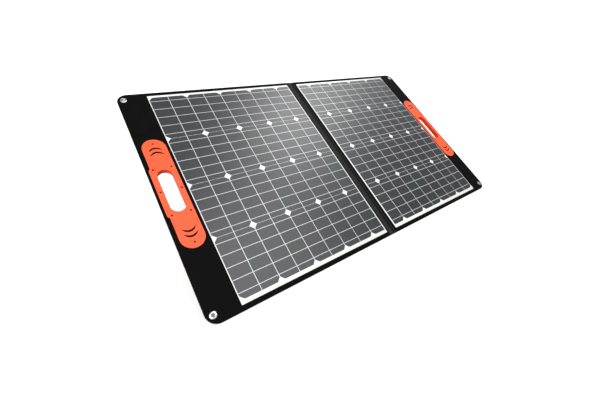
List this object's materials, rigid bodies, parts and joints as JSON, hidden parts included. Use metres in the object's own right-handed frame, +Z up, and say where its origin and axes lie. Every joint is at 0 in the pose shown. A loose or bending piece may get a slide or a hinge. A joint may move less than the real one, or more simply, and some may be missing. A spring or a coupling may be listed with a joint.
{
  "type": "folding solar panel",
  "caption": "Folding fabric solar panel that opens flat like a book, leans back on rear stands, and has an orange carrying handle at each outer edge.",
  "frame": {"origin": "on the ground, midway along the fold line and midway between the lower front edge and the upper back edge", "axes": "+X along the panel's width to its right-hand half, +Y away from the viewer towards the stands, +Z up; the panel leans back at 34 degrees to the ground"},
  "size_m": [1.178, 0.5648, 0.383],
  "materials": {
    "black_fabric": "coated woven polyester, satin",
    "stiffener_board": "hollow polypropylene board, matte",
    "white_sheet": "white back sheet under clear film",
    "solar_cells": "slate grey silicon with silver ribbons",
    "clear_film": "fine textured clear film",
    "orange_plastic": "satin moulded plastic",
    "dark_screws": "black oxide",
    "eyelet_metal": "nickel plated",
    "black_plastic": "fine grained",
    "pin_steel": "bright",
    "foot_rubber": "matte"
  },
  "bodies": {
    "left_panel": {"left_front_cover": "black_fabric", "left_back_cover": "black_fabric", "left_backing_board": "stiffener_board", "left_back_sheet": "white_sheet", "left_cell_row_1": "solar_cells", "left_cell_row_2": "solar_cells", "left_cell_row_3": "solar_cells", "left_cell_row_4": "solar_cells", "left_front_film": "clear_film", "left_handle_front": "orange_plastic", "left_handle_back": "orange_plastic", "left_handle_screw_1": "dark_screws", "left_handle_screw_2": "dark_screws", "left_handle_screw_3": "dark_screws", "left_handle_screw_4": "dark_screws", "left_handle_screw_5": "dark_screws", "left_handle_screw_6": "dark_screws", "left_handle_screw_7": "dark_screws", "left_handle_screw_8": "dark_screws", "left_eyelet_top": "eyelet_metal", "left_eyelet_bottom": "eyelet_metal", "left_eyelet_washer_top": "eyelet_metal", "left_eyelet_washer_bottom": "eyelet_metal", "left_stand_bracket": "black_plastic", "left_stand_pin": "pin_steel", "left_junction_box": "black_plastic", "left_output_gland": "black_plastic", "fabric_hinge": "black_fabric"},
    "right_panel": {"right_front_cover": "black_fabric", "right_back_cover": "black_fabric", "right_backing_board": "stiffener_board", "right_back_sheet": "white_sheet", "right_cell_row_1": "solar_cells", "right_cell_row_2": "solar_cells", "right_cell_row_3": "solar_cells", "right_cell_row_4": "solar_cells", "right_front_film": "clear_film", "right_handle_front": "orange_plastic", "right_handle_back": "orange_plastic", "right_handle_screw_1": "dark_screws", "right_handle_screw_2": "dark_screws", "right_handle_screw_3": "dark_screws", "right_handle_screw_4": "dark_screws", "right_handle_screw_5": "dark_screws", "right_handle_screw_6": "dark_screws", "right_handle_screw_7": "dark_screws", "right_handle_screw_8": "dark_screws", "right_eyelet_top": "eyelet_metal", "right_eyelet_bottom": "eyelet_metal", "right_eyelet_washer_top": "eyelet_metal", "right_eyelet_washer_bottom": "eyelet_metal", "right_stand_bracket": "black_plastic", "right_stand_pin": "pin_steel", "right_junction_box": "black_plastic"},
    "left_stand": {"left_stand_board": "black_fabric", "left_stand_foot": "foot_rubber"},
    "right_stand": {"right_stand_board": "black_fabric", "right_stand_foot": "foot_rubber"}
  },
  "joints": [
    {"name": "panel_fold", "type": "hinge", "parent": "left_panel", "child": "right_panel", "pos_m": [0, -0.00403, 0.19747], "axis": [0, -0.829, -0.5592], "range_deg": [0, 180]},
    {"name": "left_stand_swing", "type": "hinge", "parent": "left_panel", "child": "left_stand", "pos_m": [-0.2657, 0.12984, 0.26726], "axis": [-1, 0, 0], "range_deg": [0, 70]},
    {"name": "right_stand_swing", "type": "hinge", "parent": "right_panel", "child": "right_stand", "pos_m": [0.2657, 0.12984, 0.26726], "axis": [-1, 0, 0], "range_deg": [0, 70]}
  ]
}
